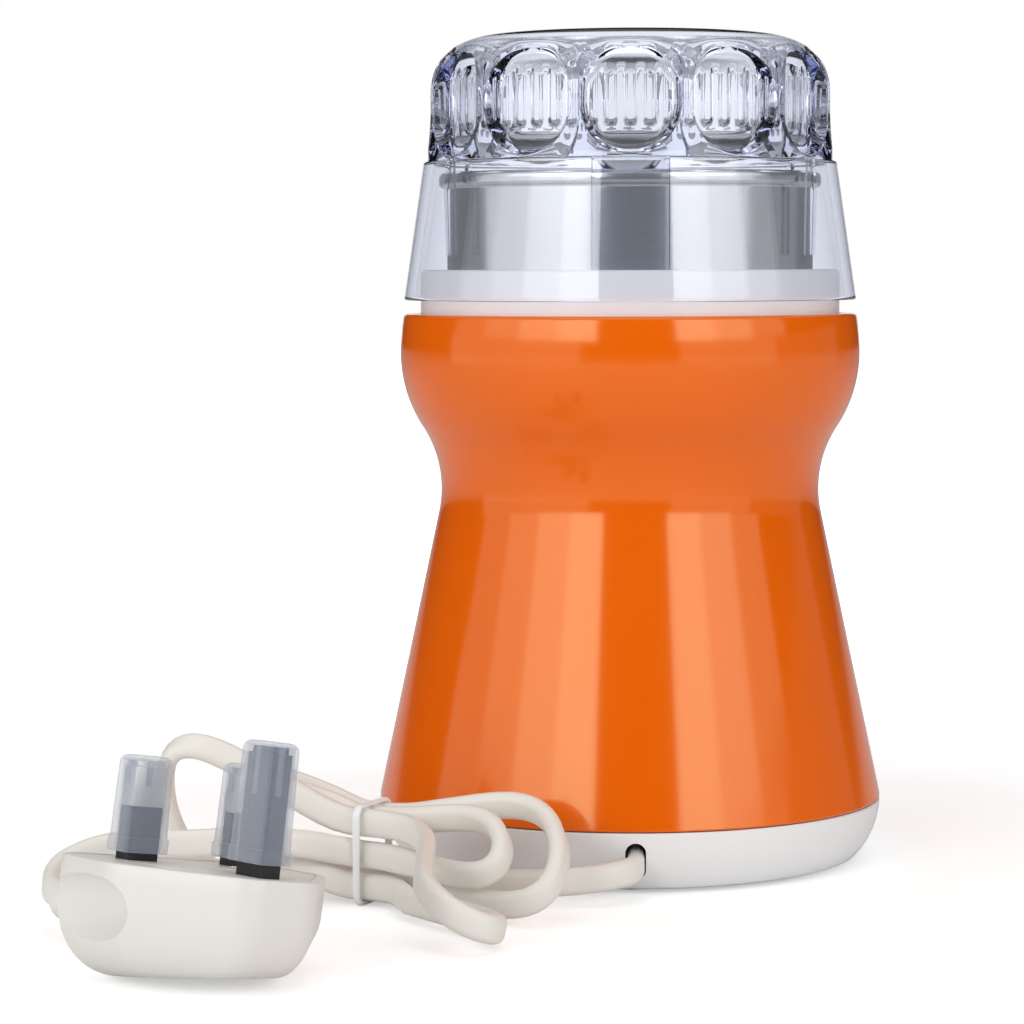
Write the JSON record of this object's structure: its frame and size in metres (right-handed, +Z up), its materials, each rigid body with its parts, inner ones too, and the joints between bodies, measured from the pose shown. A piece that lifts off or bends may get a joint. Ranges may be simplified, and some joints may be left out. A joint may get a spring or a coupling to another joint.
{
  "type": "electric coffee grinder",
  "caption": "Electric coffee grinder: hourglass body, steel cup, press-down clear lid over a chopping blade, and a flat mains lead tied in a hank with a capped three-pin plug.",
  "frame": {"origin": "middle of the base on the table, between the four feet", "axes": "+Z up along the motor shaft, -Y the side where the lead leaves the base"},
  "size_m": [0.1667, 0.2079, 0.176],
  "materials": {
    "orange_gloss": "high gloss",
    "white_gloss": "gloss",
    "collar_white": "satin gloss",
    "cup_steel": "brushed round the axis",
    "lid_clear": "clear, polished",
    "foot_rubber": "matte",
    "zinc_steel": "zinc plated",
    "spring_steel": "drawn wire",
    "blade_steel": "polished",
    "bronze": "sintered",
    "copper": "varnished wire",
    "laminations": "varnished",
    "carbon": "matte",
    "black_plastic": "moulded",
    "red_plastic": "moulded",
    "white_moulded": "moulded",
    "cord_cream": "soft satin",
    "wire_brown": "satin",
    "tie_white": "gloss",
    "plug_cream": "satin",
    "pin_metal": "plated",
    "pin_black": "moulded",
    "cap_frosted": "frosted",
    "fuse_ceramic": "glazed"
  },
  "bodies": {
    "grinder": {"housing_shell": "orange_gloss", "base_cover": "white_gloss", "rubber_feet": "foot_rubber", "base_screws": "zinc_steel", "top_collar": "collar_white", "grinding_cup": "cup_steel", "cup_nut": "zinc_steel", "shaft_seal": "foot_rubber", "push_spring": "spring_steel", "switch_body": "black_plastic", "switch_screws": "zinc_steel", "stator_core": "laminations", "stator_coils": "copper", "upper_bracket": "white_moulded", "lower_bracket": "white_moulded", "upper_bearing": "bronze", "lower_bearing": "bronze", "motor_screws": "zinc_steel", "mount_screws": "zinc_steel", "motor_pad": "foot_rubber", "brush_holders": "bronze", "carbon_brushes": "carbon", "brush_springs": "spring_steel", "cord_clamp": "white_moulded", "cord_clamp_screws": "zinc_steel", "inner_wires": "wire_brown", "cord_base_stretch": "cord_cream", "cord_hank": "cord_cream", "cord_plug_stretch": "cord_cream", "cord_tie": "tie_white", "plug_body": "plug_cream", "plug_face_plate": "plug_cream", "plug_strain_relief": "cord_cream", "plug_live_pin": "pin_metal", "plug_neutral_pin": "pin_metal", "plug_earth_pin": "pin_black", "pin_sleeves": "pin_black"},
    "rotor": {"motor_shaft": "zinc_steel", "rotor_core": "laminations", "rotor_windings": "copper", "commutator": "copper", "cooling_fan": "black_plastic", "blade": "blade_steel", "blade_hub": "bronze", "blade_nut": "blade_steel"},
    "pusher": {"press_pusher": "white_moulded"},
    "lid": {"lid": "lid_clear"},
    "lever": {"switch_lever": "spring_steel"},
    "button": {"switch_button": "red_plastic"},
    "live_cap": {"cap_live": "cap_frosted"},
    "neutral_cap": {"cap_neutral": "cap_frosted"},
    "earth_cap": {"cap_earth": "cap_frosted"},
    "fuse_drawer": {"fuse_carrier": "plug_cream", "plug_fuse": "fuse_ceramic"}
  },
  "joints": [
    {"name": "rotor_spin", "type": "hinge", "parent": "grinder", "child": "rotor", "pos_m": [0, 0, 0.08], "axis": [0, 0, 1], "continuous": true},
    {"name": "lid_press", "type": "slide", "parent": "grinder", "child": "pusher", "axis": [0, 0, -1], "range_m": [0, 0.0022], "stiffness_N_per_m": 700, "springref_m": -0.0038, "deforming": ["push_spring"]},
    {"name": "lid_lift", "type": "slide", "parent": "pusher", "child": "lid", "axis": [0, 0, 1], "range_m": [0, 0.075]},
    {"name": "lever_tip", "type": "hinge", "parent": "grinder", "child": "lever", "pos_m": [-0.008, -0.033, 0.0923], "axis": [0, 1, 0], "range_deg": [0, 10]},
    {"name": "button_push", "type": "slide", "parent": "grinder", "child": "button", "axis": [0, 0, -1], "range_m": [0, 0.001]},
    {"name": "live_cap_pull", "type": "slide", "parent": "grinder", "child": "live_cap", "axis": [0.1028, 0.1289, 0.9863], "range_m": [0, 0.028]},
    {"name": "neutral_cap_pull", "type": "slide", "parent": "grinder", "child": "neutral_cap", "axis": [0.1028, 0.1289, 0.9863], "range_m": [0, 0.028]},
    {"name": "earth_cap_pull", "type": "slide", "parent": "grinder", "child": "earth_cap", "axis": [0.1028, 0.1289, 0.9863], "range_m": [0, 0.03]},
    {"name": "fuse_pull", "type": "slide", "parent": "grinder", "child": "fuse_drawer", "axis": [0.1028, 0.1289, 0.9863], "range_m": [0, 0.014]}
  ],
  "couplings": [
    {"joint": "lever_tip", "follows": "lid_press", "rad_per_m": 75},
    {"joint": "button_push", "follows": "lid_press", "ratio": 0.41}
  ]
}
